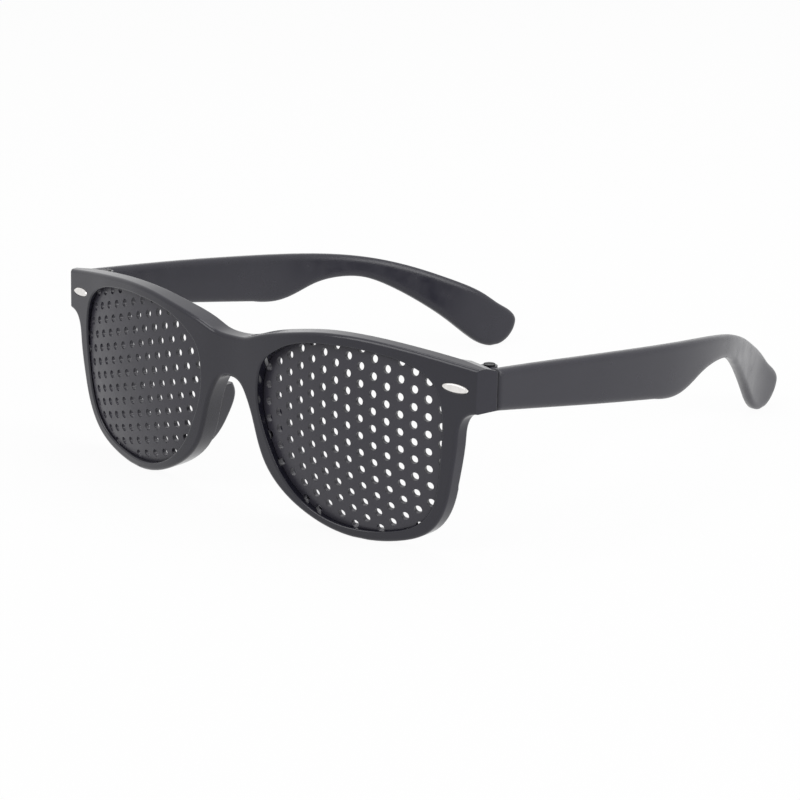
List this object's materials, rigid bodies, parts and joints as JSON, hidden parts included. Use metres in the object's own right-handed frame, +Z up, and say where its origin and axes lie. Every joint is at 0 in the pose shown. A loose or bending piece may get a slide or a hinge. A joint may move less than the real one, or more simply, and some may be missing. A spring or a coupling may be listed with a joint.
{
  "type": "pinhole glasses",
  "caption": "Folding glasses with two perforated pinhole plates in a moulded plastic front, hinged temples and small silver studs.",
  "frame": {"origin": "middle of the box's base: on the table, midway between the two sides and between the front and the temple tips", "axes": "+Z up, -Y towards the front of the glasses, +Y towards the temple tips, +X towards the wearer's left"},
  "size_m": [0.145, 0.1691, 0.0493],
  "materials": {
    "frame": "semi-gloss charcoal black moulded plastic",
    "temple": "semi-gloss charcoal black moulded plastic",
    "plate": "satin black plastic",
    "stud": "bright silver metal",
    "screw": "black-coated steel"
  },
  "bodies": {
    "front": {"front_frame": "frame", "left_pinhole_plate": "plate", "right_pinhole_plate": "plate", "left_stud": "stud", "right_stud": "stud", "left_hinge_screw": "screw", "right_hinge_screw": "screw"},
    "left_arm": {"left_temple": "temple"},
    "right_arm": {"right_temple": "temple"}
  },
  "joints": [
    {"name": "left_temple_fold", "type": "hinge", "parent": "front", "child": "left_arm", "pos_m": [0.06623, -0.0655, 0.0403], "axis": [0, 0, 1], "range_deg": [0, 84]},
    {"name": "right_temple_fold", "type": "hinge", "parent": "front", "child": "right_arm", "pos_m": [-0.06623, -0.0655, 0.0403], "axis": [0, 0, -1], "range_deg": [0, 76]}
  ]
}
